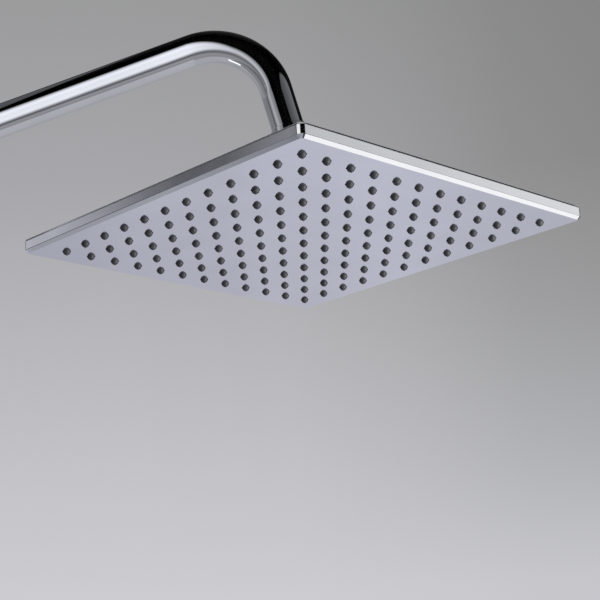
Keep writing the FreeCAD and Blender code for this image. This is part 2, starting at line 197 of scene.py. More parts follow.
# %% Places of the wall, the stem and the head
head_turn = math.radians(45)
stem_lean = math.radians(13)
ball_centre = np.array(next(joint["pos_m"] for joint in frame["joints"] if joint["name"] == "head_turn"))
face_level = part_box("face_shell")[0].z
face_centre = np.array([ball_centre[0], ball_centre[1], face_level])
wall_turn = np.array(Matrix.Rotation(math.pi / 2, 3, "X"))
stem_turn = np.array(Matrix.Rotation(-stem_lean, 3, "X"))
level_turn = np.array(Matrix.Rotation(head_turn, 3, "Z"))


def on_wall(points):
    """Height becomes the distance from the wall."""
    return points @ wall_turn.T


def on_stem(points):
    """Height runs up the leaning stem from the ball's centre."""
    return points @ stem_turn.T + ball_centre


def on_head(points):
    """Height is measured up from the spray face."""
    return points @ level_turn.T + face_centre


def over_face(node, side):
    """Height of a node's lowest point (side 0) or highest point (side 1) above the spray face."""
    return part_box(node)[side].z - face_level


print("ball centre", ball_centre, "spray face at", round(face_level, 5))

# %% [markdown]
# ## Finishes
# Chrome has almost no colour of its own. What tells it from a perfect mirror is small: wiping leaves
# faint bands in its gloss, and the plating follows the polished metal below, which is never quite
# flat. Both are noise on object coordinates, so they keep their scale on every piece.


# %% Node helpers
def feed(value, socket):
    """Link an output to an input socket, or set the input where the value is a plain one."""
    if isinstance(value, bpy.types.NodeSocket):
        socket.id_data.links.new(value, socket)
    else:
        socket.default_value = value


def add_node(tree, kind, inputs=()):
    """A shader node of a kind, whose inputs, by name or number, are fed as given."""
    node = tree.nodes.new("ShaderNode" + kind)
    for key, value in dict(inputs).items():
        feed(value, node.inputs[key])
    return node


def new_finish(name):
    """A material and its principled shader."""
    finish = bpy.data.materials.new(name)
    finish.use_nodes = True
    return finish, finish.node_tree.nodes["Principled BSDF"]


# %% [markdown]
# A pattern needs a source and a use. The source is noise. The uses are a range of roughness, a ramp
# of colours and a relief that tilts the normals.

# %% Patterns
noise_low = 0.3
noise_high = 0.7


def noise(shader, scale, stretch=(1, 1, 1), detail=3):
    """Noise on object coordinates, stretched along the axes; returns its value socket."""
    tree = shader.id_data
    place = add_node(tree, "TexCoord").outputs["Object"]
    mapped = add_node(tree, "Mapping", {"Vector": place, "Scale": stretch}).outputs["Vector"]
    return add_node(tree, "TexNoise", {"Vector": mapped, "Scale": scale, "Detail": detail}).outputs["Fac"]


def colour_ramp(value, stops):
    """Colours over a value, from (position, colour) stops. A single number stands for a grey."""
    ramp = add_node(value.id_data, "ValToRGB", {"Fac": value})
    elements = ramp.color_ramp.elements
    while len(elements) < len(stops):
        elements.new(1)
    for element, (position, shade) in zip(elements, stops):
        colour = shade if isinstance(shade, tuple) else (shade, shade, shade)
        element.position = position
        element.color = (*colour, 1)
    return ramp.outputs["Color"]


def tint(shader, value, dark, light):
    """Let a noise value choose between two colours."""
    feed(colour_ramp(value, [(noise_low, dark), (noise_high, light)]), shader.inputs["Base Color"])


def polish(shader, value, smooth, rough):
    """Spread a noise value over the roughness between two numbers."""
    ends = {"From Min": noise_low, "From Max": noise_high, "To Min": smooth, "To Max": rough}
    reach = add_node(shader.id_data, "MapRange", {"Value": value, **ends})
    feed(reach.outputs["Result"], shader.inputs["Roughness"])


def relief(shader, value, strength, depth):
    """Raise the surface by a noise value, by a given depth."""
    bump = add_node(shader.id_data, "Bump", {"Height": value, "Strength": strength, "Distance": depth})
    feed(bump.outputs["Normal"], shader.inputs["Normal"])


# %% [markdown]
# The tube is drawn steel, polished along its length. The brass fittings are turned. The two shells
# of the head are moulded plastic under chrome, a little softer in gloss than the tube.

# %% Chrome and other metals
mark_depth = 0.02 * mm


def plated(name, dark, light, gloss, wipe, ripple):
    """Plating: gloss between two roughness values along wipe marks, and a faint ripple."""
    finish, shader = new_finish(name)
    shader.inputs["Metallic"].default_value = 1
    tint(shader, noise(shader, scale=22), dark, light)
    polish(shader, noise(shader, scale=60, stretch=wipe), *gloss)
    relief(shader, noise(shader, scale=160, detail=1), strength=ripple, depth=mark_depth)
    return finish


def brushed(name, dark, light, gloss):
    """Bare metal with fine turning or brushing marks."""
    finish, shader = new_finish(name)
    shader.inputs["Metallic"].default_value = 1
    tint(shader, noise(shader, scale=300), dark, light)
    marks = noise(shader, scale=900, stretch=(1, 1, 8))
    polish(shader, marks, *gloss)
    relief(shader, marks, strength=0.15, depth=mark_depth)
    return finish


tube_chrome = plated("tube_chrome", (0.86, 0.87, 0.89), (0.91, 0.92, 0.94),
                     gloss=(0.02, 0.05), wipe=(1, 0.2, 1), ripple=0.05)
brass_chrome = plated("brass_chrome", (0.84, 0.85, 0.87), (0.90, 0.91, 0.93),
                      gloss=(0.03, 0.08), wipe=(1, 1, 0.3), ripple=0.05)
shell_chrome = plated("shell_chrome", (0.85, 0.86, 0.89), (0.90, 0.91, 0.94),
                      gloss=(0.08, 0.11), wipe=(0.4, 1, 1), ripple=0.03)
brass_finish = brushed("brass_finish", (0.62, 0.42, 0.17), (0.78, 0.57, 0.27), gloss=(0.25, 0.45))
steel_finish = brushed("steel_finish", (0.50, 0.50, 0.49), (0.66, 0.66, 0.65), gloss=(0.22, 0.40))
print("metal finishes made")

# %% [markdown]
# Nozzles are silicone, so that lime can be rubbed off them: nearly black, with a soft dull sheen.
# Washers are denser and duller. Inner plates and seats are moulded in plain white and grey plastic.


# %% Rubber, silicone and plastic
def moulded(name, dark, light, gloss, grain, depth):
    """Moulded material: two close shades, an uneven gloss and the grain of the mould."""
    finish, shader = new_finish(name)
    tint(shader, noise(shader, scale=120), dark, light)
    polish(shader, noise(shader, scale=400), *gloss)
    relief(shader, noise(shader, scale=grain), strength=0.35, depth=depth)
    return finish


silicone_finish = moulded("silicone_finish", (0.019, 0.021, 0.026), (0.038, 0.041, 0.048),
                          gloss=(0.5, 0.62), grain=900, depth=0.03 * mm)
rubber_finish = moulded("rubber_finish", (0.010, 0.010, 0.010), (0.022, 0.022, 0.022),
                        gloss=(0.6, 0.8), grain=1500, depth=0.05 * mm)
seat_finish = moulded("seat_finish", (0.70, 0.69, 0.64), (0.80, 0.79, 0.75),
                      gloss=(0.30, 0.42), grain=1200, depth=0.02 * mm)
plate_finish = moulded("plate_finish", (0.42, 0.43, 0.44), (0.50, 0.51, 0.52),
                       gloss=(0.38, 0.5), grain=1000, depth=0.02 * mm)
print("moulded finishes made")

# %% [markdown]
# ## The bent arm
# The arm is one tube: level out of the wall, a gentle bend, a long slope, and a tight bend down to
# the head. Its centre line lies in one upright plane, so the heading is a single angle that stays
# constant on a run and grows evenly round a bend.

# %% Centre line of the arm
tube_low, tube_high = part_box("arm_tube")
tube_radius = (tube_high.x - tube_low.x) / 2
tube_wall = 1.2 * mm
tube_bore = tube_radius - tube_wall
tube_start = 9 * mm
wall_run = 80 * mm
slope_length = 300 * mm
drop_length = 116 * mm
collar_end = 28.5 * mm
lower_bend = 80 * mm
upper_bend = 50 * mm
rise_angle = math.radians(18)
drop_angle = stem_lean - math.pi / 2


def arm_part(length, heading, turn, steps):
    """Equal shares of a length, over which the heading grows evenly by a turn: 0 on a straight run."""
    share = np.linspace(0, 1, steps + 1)
    return share * length, heading + share * turn


def arm_path():
    """Centre line as points (Y, Z) and headings, from runs and bends set end to end.

    A step of length d from heading a to heading b moves along the middle heading by the chord,
    d sin(w) / w with w half of b - a, so every station lies on the line or arc exactly."""
    upper_turn = drop_angle - rise_angle
    lower_cut = lower_bend * math.tan(rise_angle / 2)
    upper_cut = upper_bend * math.tan(-upper_turn / 2)
    arm_parts = [
        arm_part(wall_run - tube_start - lower_cut, 0, 0, steps=8),
        arm_part(lower_bend * rise_angle, 0, rise_angle, steps=16),
        arm_part(slope_length - lower_cut - upper_cut, rise_angle, 0, steps=16),
        arm_part(upper_bend * -upper_turn, rise_angle, upper_turn, steps=72),
        arm_part(drop_length - collar_end - upper_cut, drop_angle, 0, steps=6),
    ]
    steps = np.concatenate([np.diff(length) for length, heading in arm_parts])
    first = np.concatenate([heading[:-1] for length, heading in arm_parts])
    last = np.concatenate([heading[1:] for length, heading in arm_parts])
    chord = steps * np.sinc((last - first) / 2 / np.pi)
    middle = (first + last) / 2
    along = np.stack([-np.cos(middle), np.sin(middle)], axis=-1) * chord[:, None]
    points = np.concatenate([[[-tube_start, 0]], [-tube_start, 0] + np.cumsum(along, axis=0)])
    return points, np.concatenate([first, last[-1:]])


path, heading = arm_path()
arm_end_gap = np.linalg.norm(on_stem(np.array([0, 0, collar_end])) - [0, *path[-1]])
print("arm ends", round(arm_end_gap / mm, 4), "mm from the stud's collar")

# %% [markdown]
# A circle set square to the heading at every station gives the tube, outside first and then back
# along the bore.


# %% Arm tube
def upright(y, z):
    """Points or directions in the arm's upright plane, where X is 0."""
    return np.stack([np.zeros_like(y), y, z], axis=-1)


def about_line(turn, side, start=(1, 0, 0)):
    """Unit directions about the arm's line: start cos t + side sin t, at every station and turn t."""
    return np.cos(turn)[:, None] * np.array(start) + np.sin(turn)[:, None] * side[:, None]


def tube_sheet(path, heading, radius, steps=96):
    """Circle of one radius, set square to the heading at every station of a path in the YZ plane."""
    turn = np.arange(steps) * 2 * np.pi / steps
    side = upright(np.sin(heading), np.cos(heading))
    return upright(*path.T)[:, None] + radius * about_line(turn, side)


outside = tube_sheet(path, heading, tube_radius)
inside = tube_sheet(path[::-1], heading[::-1], tube_bore)
arm = make_piece("bent_arm", [grid_sheet(np.concatenate([outside, inside]))], tube_chrome,
                 "arm", "chromed_tube", "arm_tube")

# %% [markdown]
# ## The threaded nipple
# The fitting that is brazed into the wall end carries a half-inch pipe thread of 14 turns to the
# inch. A thread is a turned part whose radius also depends on the angle: the height is shifted by
# one pitch per turn, and a triangle wave of that height, cut flat at both ends, makes the groove.

# %% Threaded nipple
inch = 25.4 * mm
thread_radius = 10.4775 * mm
thread_pitch = inch / 14
thread_depth = 1.16 * mm
thread_flat = 0.125
thread_from = -15 * mm
thread_to = 3.4 * mm
thread_lead = 1.6 * mm
lead_slope = 0.6
shoulder_from = 5 * mm
slide_gap = 0.05 * mm
plug_radius = tube_bore - slide_gap
plug_end = tube_start + 20 * mm
nipple_bore = 6.5 * mm
bore_margin = 0.1 * mm


def thread_limit(profile, turn):
    """Radius of the thread: crest less depth times a triangle wave of height - pitch t / 2 pi.

    The wave is cut off to leave flats on crest and root. The thread fades in over the first lead,
    like the cone of the die, and stops at the relief."""
    height = profile[:, 1:]
    phase = height / thread_pitch - turn[None] / (2 * np.pi)
    wave = np.abs(2 * (phase % 1) - 1)
    groove = np.clip((1 + 2 * thread_flat) * wave - thread_flat, 0, 1)
    crest = thread_radius - np.clip(thread_from + thread_lead - height, 0, None) * lead_slope
    cut = np.where(height < thread_to, crest - thread_depth * groove, np.inf)
    return np.where(profile[:, :1] > nipple_bore + bore_margin, np.maximum(cut, nipple_bore), np.inf)


thread_rows = np.linspace(thread_from, thread_to, num=124)
thread_part = np.stack([np.full_like(thread_rows, thread_radius), thread_rows], axis=-1)
plug_part = rounded_outline(
    [(thread_radius - thread_depth, thread_to), (thread_radius - thread_depth, shoulder_from),
     (tube_radius, shoulder_from), (tube_radius, tube_start), (plug_radius, tube_start),
     (plug_radius, plug_end), (nipple_bore, plug_end), (nipple_bore, thread_from)],
    [0, 0.3, 0.3, 0, 0, 0.5, 0.5, 0], closed=False)
nipple_profile = np.concatenate([thread_part, plug_part])
nipple_sheet = turned_sheet(nipple_profile, on_wall, steps=96, limit=thread_limit)
nipple = make_piece("threaded_nipple", [nipple_sheet], brass_finish,
                    "arm", "plain_brass", "wall_nipple")

# %% [markdown]
# ## The wall flange
# A pressed cup slides along the tube and hides the hole in the wall. Its foot is open towards the
# wall, its shoulder falls to a short collar that holds a rubber ring against the tube.

# %% Wall flange
flange_radius = (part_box("wall_flange")[1].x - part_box("wall_flange")[0].x) / 2
flange_foot = 1.5 * mm
flange_rim = 8 * mm
flange_cone_top = 14 * mm
flange_collar = 17.5 * mm
flange_end = 18 * mm
flange_wall = 2 * mm
flange_bore = tube_radius + slide_gap
groove_depth = 2.5 * mm
groove_radius = flange_bore + groove_depth
groove_low = 13.3 * mm
groove_high = 15.9 * mm
flange_profile = rounded_outline(
    [(flange_radius - flange_wall, flange_foot), (flange_radius, flange_foot),
     (flange_radius, flange_rim), (flange_collar, flange_cone_top),
     (flange_collar, flange_end), (flange_bore, flange_end),
     (flange_bore, groove_high), (groove_radius, groove_high), (groove_radius, groove_low),
     (flange_bore, groove_low), (flange_bore, flange_cone_top - flange_wall),
     (flange_collar - flange_wall / 2, flange_cone_top - flange_wall),
     (flange_radius - flange_wall, flange_rim - flange_wall / 2)],
    [0.2, 0.4, 2.5, 2.0, 1.0, 0.3, 0.1, 0.1, 0.1, 0.1, 0.2, 0.5, 1.5])
flange = make_piece("flange_cup", [turned_sheet(flange_profile, on_wall)], brass_chrome,
                    "wall_cover", "chromed_brass", "wall_flange")

# %% [markdown]
# ## The ball stud
# A hollow ball on a short stem, with a collar that takes the arm. The top of the collar is all that
# shows above the rim of the head: it is one millimetre wider than the tube.

# %% Ball stud
ball_radius = 12 * mm
stem_radius = 6.2 * mm
stem_bore = 4.2 * mm
collar_lip = 1 * mm
collar_radius = tube_radius + collar_lip
collar_start = 15 * mm
collar_floor = collar_start + 2.5 * mm
thread_gap = 0.1 * mm
thread_bore = thread_radius + thread_gap
ball_part = round_arc(ball_radius, math.pi - math.asin(stem_bore / ball_radius),
                      math.asin(stem_radius / ball_radius), steps=36)
stud_profile = arc_profile(
    ball_part,
    [(stem_radius, collar_start), (collar_radius, collar_start), (collar_radius, collar_end),
     (thread_bore, collar_end), (thread_bore, collar_floor), (stem_bore, collar_floor)],
    [1.5, 1.0, 1.0, 0.2, 0, 0.2])
stud = make_piece("collared_stud", [turned_sheet(stud_profile, on_stem)], brass_chrome,
                  "arm", "chromed_brass", "ball_stud")

# %% [markdown]
# ## Socket, ring nut and lock nut
# The ball sits in a cup with a spanner hexagon and is held by a ring nut with finger grips. A hexagon
# is a circle with a limit: at angle t no point may lie further out than apothem / cos(t), taken to
# the nearest flat. Grips are the same idea with round cutters standing in a circle.

# %% Limits for flats and grips
flats_count = 6
chamfer_angle = math.radians(30)


def hexagon(flats):
    """Corner radius of a hexagon across its flats, and how far a chamfer drops from flat to corner."""
    reach = flats / math.sqrt(3)
    return reach, (reach - flats / 2) * math.tan(chamfer_angle)


def flats_limit(flats, top):
    """Reach of a hexagon at angle t: apothem / cos(angle to the nearest flat), below a given height."""
    def limit(profile, turn):
        step = 2 * np.pi / flats_count
        reach = flats / 2 / np.cos(turn % step - step / 2)
        return np.where(profile[:, 1:] <= top, reach[None], np.inf)
    return limit


def grips_limit(circle, cutter, count):
    """Reach left by round cutters: circle cos(d) - sqrt(cutter^2 - circle^2 sin(d)^2) near each one."""
    def limit(profile, turn):
        step = 2 * np.pi / count
        near = (turn + step / 2) % step - step / 2
        inside_cut = cutter ** 2 - (circle * np.sin(near)) ** 2
        reach = circle * np.cos(near) - np.sqrt(np.clip(inside_cut, 0, None))
        return np.where(inside_cut > 0, reach, np.inf)[None]
    return limit


# %% [markdown]
# The chamfer on a hexagon is turned before the flats are cut, so it is a cone on the profile: where
# the cone lies inside the flats it shows as the curved line that every nut has.

# %% Ball socket
ball_height = ball_centre[2] - face_level
socket_sphere = 14.06 * mm
cup_radius = 19 * mm
cup_top = ball_height + 0.6 * mm
cup_bottom = ball_height - 15 * mm
neck_radius = 16.5 * mm
socket_bottom = over_face("ball_socket", 0)
socket_flats = 30 * mm
hex_top = socket_bottom + 9 * mm
hex_reach, hex_chamfer = hexagon(socket_flats)
hex_steps = 144
filter_level = socket_bottom + 14 * mm
chamber_radius = 9 * mm
chamber_top = filter_level + 5 * mm
passage_radius = 5.5 * mm
mouth_angle = math.acos((cup_top - ball_height) / socket_sphere)
passage_angle = math.pi - math.asin(passage_radius / socket_sphere)


def about_ball(profile):
    """Profile drawn about the ball's centre, moved to its height over the face."""
    return profile + np.array([0, ball_height])


socket_profile = arc_profile(
    about_ball(round_arc(socket_sphere, mouth_angle, passage_angle)),
    [(passage_radius, chamber_top), (chamber_radius, chamber_top), (chamber_radius, filter_level),
     (thread_bore, filter_level), (thread_bore, socket_bottom), (socket_flats / 2, socket_bottom),
     (hex_reach, socket_bottom + hex_chamfer), (hex_reach, hex_top - hex_chamfer / 2),
     (neck_radius, hex_top), (neck_radius, cup_bottom), (cup_radius, cup_bottom), (cup_radius, cup_top)],
    [0, 0, 0, 0, 0.4, 0.1, 0.2, 0.2, 0.4, 0.8, 0.4, 0.4])
socket_sheet = turned_sheet(socket_profile, on_head, hex_steps, flats_limit(socket_flats, hex_top))
socket = make_piece("socket_body", [socket_sheet], brass_chrome,
                    "head", "chromed_brass", "ball_socket")

# %% [markdown]
# The ring nut screws over the cup. Its inside goes on with the sphere of the socket up to a lip, so
# that cup and nut hold the ball between them, and its top falls away to let the stem lean.

# %% Ring nut
nut_radius = 23 * mm
nut_foot = ball_height - 14 * mm
nut_shoulder = ball_height + 2 * mm
nut_inner = cup_radius + thread_gap
lip_angle = math.radians(58)
lip_radius = socket_sphere * math.sin(lip_angle)
lip_level = ball_height + socket_sphere * math.cos(lip_angle)
lip_width = 1 * mm
crest_level = lip_level + 1 * mm
crest_width = 2 * mm
crest_fall = 5 * mm
shoulder_inset = 2 * mm
grip_count = 12
grip_steps = 360
grip_cutter = 2.5 * mm
grip_depth = 0.9 * mm
grip_circle = nut_radius + grip_cutter - grip_depth
nut_profile = arc_profile(
    about_ball(round_arc(socket_sphere, lip_angle, mouth_angle)),
    [(nut_inner, cup_top), (nut_inner, nut_foot), (nut_radius, nut_foot), (nut_radius, nut_shoulder),
     (nut_radius - shoulder_inset, crest_level - crest_fall), (lip_radius + crest_width, crest_level),
     (lip_radius + lip_width, crest_level)],
    [0, 0.4, 1.2, 0.6, 0.8, 0.5, 0.3])
grip_limit = grips_limit(grip_circle, grip_cutter, grip_count)
ring_nut = make_piece("ring_nut", [turned_sheet(nut_profile, on_head, grip_steps, grip_limit)],
                      brass_chrome, "head", "chromed_brass", "ball_nut")

# %% [markdown]
# A flat brass nut on top of the dome clamps the head to its inlet. It is a second hexagon, chamfered
# on both faces, with a bevelled mouth for the thread.

# %% Lock nut on the dome
dome_top = over_face("back_cover", 1)
lock_flats = 36 * mm
lock_reach, lock_chamfer = hexagon(lock_flats)
lock_height = 4.5 * mm
lock_top = dome_top + lock_height
lock_mouth = 0.8 * mm
lock_profile = rounded_outline(
    [(thread_bore, dome_top), (lock_flats / 2, dome_top), (lock_reach, dome_top + lock_chamfer),
     (lock_reach, lock_top - lock_chamfer), (lock_flats / 2, lock_top),
     (thread_bore + lock_mouth, lock_top), (thread_bore, lock_top - lock_mouth)],
    [0.2, 0.1, 0.2, 0.2, 0.1, 0.1, 0.1])
lock_sheet = turned_sheet(lock_profile, on_head, hex_steps, flats_limit(lock_flats, lock_top))
lock_nut = make_piece("hex_lock_nut", [lock_sheet], brass_finish,
                      "head", "plain_brass", "inlet_lock_nut")

# %% [markdown]
# ## Square loops
# Both shells of the head are a profile carried round a square with rounded corners. Every point of
# such a loop is core * u + corner * w, where u runs along the sides of a unit square and w is the
# outward direction: insetting the loop only makes the corner smaller, until it is sharp. The side is
# divided to fit the nozzle cells, so that the loops meet the perforated sheet point for point.

# %% Square loops
head_half = 150 * mm
corner_radius = 5 * mm
nozzles_per_side = 12
nozzle_pitch = 23 * mm
cell_steps = 12
corner_steps = 8
field_half = nozzles_per_side * nozzle_pitch / 2
field_inset = head_half - field_half


def unit_loop():
    """Directions u and w round a unit square.

    Along the first side u = (1, s) and w = (1, 0). In its corner u = (1, 1) and w follows an arc. The
    other three sides are quarter turns of these."""
    side_steps = nozzles_per_side * cell_steps // 4
    along = np.linspace(-1, 1, side_steps + 1)
    arc = np.linspace(0, np.pi / 2, corner_steps + 1)[1:-1]
    side_u = np.stack([np.ones_like(along), along], axis=-1)
    side_w = np.tile([1.0, 0.0], (len(along), 1))
    arc_u = np.ones((len(arc), 2))
    arc_w = np.stack([np.cos(arc), np.sin(arc)], axis=-1)
    quarter = np.array([[0.0, 1.0], [-1.0, 0.0]])
    turns = [np.linalg.matrix_power(quarter, count) for count in range(4)]
    first = (np.concatenate([side_u, arc_u]), np.concatenate([side_w, arc_w]))
    return [np.concatenate([side @ turn for turn in turns]) for side in first]


loop_u, loop_w = unit_loop()


def lifted(plan, height):
    """Rows of plan points, each row at its own height."""
    return np.concatenate([plan, np.broadcast_to(height, plan.shape[:2] + (1,))], axis=-1)


def square_loops(profile):
    """Rows of points for a profile of (inset, height): core * u + corner * w at every height."""
    inset, height = profile[:, :1, None], profile[:, 1:, None]
    corner = np.clip(corner_radius - inset, 0, None)
    core = head_half - inset - corner
    return lifted(core * loop_u + corner * loop_w, height)


def circle_loops(profile):
    """Rows of points on circles for a profile of (radius, height), in line with the square loops."""
    radius, height = profile[:, :1, None], profile[:, 1:, None]
    outward = unit(loop_u * (head_half - corner_radius) + loop_w * corner_radius)
    return lifted(radius * outward, height)


print("points round a loop:", len(loop_u))

# %% [markdown]
# ## The top cover
# The upper shell closes the head. Its rounded lip lies on the rim of the lower shell and shows as the
# dark line along the top edge. In the middle it rises to a low dome round the inlet. One band of
# quads runs from the bore, down the dome, out over the flat, round the lip and back underneath.

# %% Top cover
cover_lip = 1.3 * mm
cover_wall = 2.2 * mm
dome_wall = 2.5 * mm
rim_top = over_face("face_shell", 1)
head_edge = rim_top + cover_lip
cover_under = head_edge - cover_wall
dome_under = dome_top - dome_wall
dome_base = 46 * mm
dome_crown = 28 * mm
dome_skirt = dome_base + 6 * mm
plug_inset = 2.7 * mm
cover_dome = rounded_outline(
    [(thread_bore, dome_under), (thread_bore, dome_top), (dome_crown, dome_top),
     (dome_base, head_edge), (dome_skirt, head_edge)],
    [0, 0.3, 2.5, 4.0, 0], closed=False)
cover_edge = rounded_outline(
    [(field_inset, head_edge), (0, head_edge), (0, rim_top), (plug_inset, rim_top),
     (plug_inset, cover_under), (field_inset, cover_under)],
    [0, 1.1, 0.15, 0.1, 0.3, 0], closed=False)
cover_hollow = rounded_outline(
    [(dome_skirt, cover_under), (dome_base - dome_wall, cover_under),
     (dome_crown - dome_wall / 2, dome_under), (thread_bore, dome_under)],
    [0, 0.5, 1.0, 0], closed=False)
cover_rows = np.concatenate(
    [circle_loops(cover_dome), square_loops(cover_edge), circle_loops(cover_hollow)])
cover = make_piece("top_cover", [grid_sheet(on_head(cover_rows))], shell_chrome,
                   "head", "chromed_abs", "back_cover")

# %% [markdown]
# ## The spray face
# The lower shell is what one sees from below: a flat mirror with a bevelled edge and 144 holes. A
# flat with holes is a sheet of square cells, each a band between its square border and its round
# hole. The cells share their borders, so the weld turns them into one perforated plate, and the rim's
# loops close it all round.

# %% Cells of the perforated plates
cell_half = nozzle_pitch / 2
cell_side = np.linspace(-1, 1, cell_steps // 4, endpoint=False)
cell_turn = np.arange(cell_steps) * 2 * np.pi / cell_steps - np.pi / 4
nozzle_line = (np.arange(nozzles_per_side) - (nozzles_per_side - 1) / 2) * nozzle_pitch
nozzle_grid = np.meshgrid(nozzle_line, nozzle_line, [0.0], indexing="ij")
nozzle_places = np.stack(nozzle_grid, axis=-1).reshape(-1, 3)


def cell_border(height):
    """Points round the border of a cell, three to a side, starting at a corner."""
    ones = np.ones_like(cell_side)
    sides = [(ones, cell_side), (-cell_side, ones), (-ones, -cell_side), (cell_side, -ones)]
    plan = np.concatenate([np.stack(side, axis=-1) for side in sides]) * cell_half
    return lifted(plan[None], height)


def cell_rings(profile):
    """Rings of (radius, height) about the middle of a cell, in step with its border."""
    circle = np.stack([np.cos(cell_turn), np.sin(cell_turn)], axis=-1)
    return lifted(profile[:, :1, None] * circle, profile[:, 1:, None])


def pierced_plate(edge, first, profile, last):
    """Sheets of a perforated plate: loops of its edge, and one cell copied to every nozzle.

    A cell is its border at the first height, rings of a profile, and its border at the last height."""
    cell = np.concatenate([cell_border(first), cell_rings(profile), cell_border(last)])
    points, quads = copied_sheet(grid_sheet(cell, close_rows=False), nozzle_places)
    return [grid_sheet(on_head(square_loops(edge)), close_rows=False), (on_head(points), quads)]


print("cells of a plate:", len(nozzle_places))

# %% [markdown]
# The rim of the shell is one profile carried round the square: out under the face, up the bevel and
# the side, in over the seam, and down again inside. Its two ends meet the perforated field.

# %% Spray face
face_wall = 2 * mm
face_chamfer = 2.4 * mm
seam_bevel = 0.35 * mm
rim_wall = 2.5 * mm
ledge_inset = 4.5 * mm
ledge_level = cover_under - 1 * mm
hole_radius = 3.35 * mm
hole_ease = 0.15 * mm
rim_profile = rounded_outline(
    [(field_inset, 0), (face_chamfer, 0), (0, face_chamfer), (0, rim_top - seam_bevel),
     (seam_bevel, rim_top), (rim_wall, rim_top), (rim_wall, ledge_level),
     (ledge_inset, ledge_level), (ledge_inset, face_wall), (field_inset, face_wall)],
    [0, 0.15, 0.7, 0.05, 0.05, 0.1, 0.1, 0.1, 0.3, 0], closed=False)
hole_profile = np.array(
    [(hole_radius + hole_ease, 0), (hole_radius, hole_ease), (hole_radius, face_wall)])
face = make_piece("spray_face", pierced_plate(rim_profile, 0, hole_profile, face_wall), shell_chrome,
                  "head", "chromed_abs", "face_shell")

# %% [markdown]
# ## The nozzle sheet
# All nozzles belong to one soft sheet that lies on the inside of the face and pokes through its
# holes. Each nozzle is a short blunt cone with a rounded shoulder, a small outlet and a fine bore.
# There are many of them, so each has only a few rings.

# %% Nozzle sheet
nozzle_base = 3.3 * mm
nozzle_height = -over_face("nozzle_mat", 0)
nozzle_bore = 0.8 * mm
bore_flare = 0.1 * mm
body_height = 2.25 * mm
body_radius = 2.4 * mm
body_round = 0.45 * mm
tip_radius = 1.15 * mm
tip_round = 0.15 * mm
mat_top = over_face("nozzle_mat", 1)
mat_inset = 5 * mm
tip_outline = np.array([
    (nozzle_bore + bore_flare, -nozzle_height), (tip_radius - tip_round, -nozzle_height),
    (tip_radius, tip_round - nozzle_height), (tip_radius + tip_round, -body_height),
    (body_radius - body_round, -body_height), (body_radius, body_round - body_height),
    (nozzle_base - body_round / 2, -body_round), (nozzle_base, 0)])
bore_rows = [(nozzle_bore, mat_top), (nozzle_bore, 2 * bore_flare - nozzle_height)]
nozzle_profile = np.concatenate([bore_rows, tip_outline, [(nozzle_base, face_wall)]])
mat_edge = np.array(
    [(field_inset, face_wall), (mat_inset, face_wall), (mat_inset, mat_top), (field_inset, mat_top)])
nozzles = make_piece("nozzle_sheet", pierced_plate(mat_edge, mat_top, nozzle_profile, face_wall),
                     silicone_finish, "head", "nozzle_silicone", "nozzle_mat")

# %% [markdown]
# ## Inner pieces
# Everything inside the head and the joint keeps its measured shape and only needs its finish.

# %% Finishes of the inner pieces
inner_finishes = {
    brass_finish: ("head_nipple", "inlet_fitting"),
    rubber_finish: ("stud_washer", "flange_ring", "flange_gasket", "socket_washer",
                    "inlet_gasket", "rim_gasket"),
    seat_finish: ("lower_ball_seat", "upper_ball_seat"),
    plate_finish: ("flow_limiter", "spreader_plate"),
    steel_finish: ("filter_screen", "plate_screws"),
}
for finish, names in inner_finishes.items():
    for name in names:
        slots = frame["nodes"][name].data.materials
        slots.clear()
        slots.append(finish)
print("inner pieces finished:", sum(len(names) for names in inner_finishes.values()))

# %% [markdown]
# ## Floor
# A plain pale floor lies well below, at about the height at which such a head is hung. It belongs to
# the studio, not to the object, and the chrome doesn't mirror it: that is left to the world.

# %% Floor
floor_level = -2.6
floor_half = 30.0
floor_shades = ((0.81, 0.81, 0.84), (0.83, 0.83, 0.86))


def studio_sheet(name, sheet, finish):
    """A sheet of one finish, made into an object of its own in the scene."""
    item = bpy.data.objects.new(name, sheet_mesh(name, *sheet, finish))
    bpy.context.scene.collection.objects.link(item)
    return item


floor_finish, floor_shader = new_finish("pale_floor")
tint(floor_shader, noise(floor_shader, scale=0.7), *floor_shades)
floor_shader.inputs["Roughness"].default_value = 0.8
floor_corners = np.array([[(-1, -1, 0), (1, -1, 0)], [(-1, 1, 0), (1, 1, 0)]]) * floor_half
floor_sheet = grid_sheet(floor_corners + [0, 0, floor_level], close_rows=False, close_columns=False)
floor = studio_sheet("floor", floor_sheet, floor_finish)
floor.visible_glossy = False
print("floor at", floor_level, "m")

# %% [markdown]
# ## Surroundings
# Chrome shows the room. The world's shader can paint one without a single wall, because it knows the
# direction of every ray: a ramp grades one component of the direction, and ramps can be mixed.

# %% Sky helpers
world = bpy.data.worlds.new("studio")
bpy.context.scene.world = world
world.use_nodes = True
sky = world.node_tree
direction = add_node(sky, "TexCoord").outputs["Generated"]
parts = add_node(sky, "SeparateXYZ", {"Vector": direction}).outputs


def sky_ramp(axis, stops):
    """Colours over one component of the direction, from the place of the first stop to the last."""
    low, high = stops[0][0], stops[-1][0]
    reach = add_node(sky, "MapRange", {"Value": parts[axis], "From Min": low, "From Max": high})
    shares = [((place - low) / (high - low), shade) for place, shade in stops]
    return colour_ramp(reach.outputs["Result"], shares)


def sky_mix(first, second, factor, blend="MIX"):
    """Mix two colours of the sky."""
    node = sky.nodes.new("ShaderNodeMix")
    node.data_type = "RGBA"
    node.blend_type = blend
    colours = [socket for socket in node.inputs if socket.type == "RGBA"]
    for socket, value in zip([*colours, node.inputs["Factor"]], (first, second, factor)):
        feed((*value, 1) if isinstance(value, tuple) else value, socket)
    return next(socket for socket in node.outputs if socket.type == "RGBA")


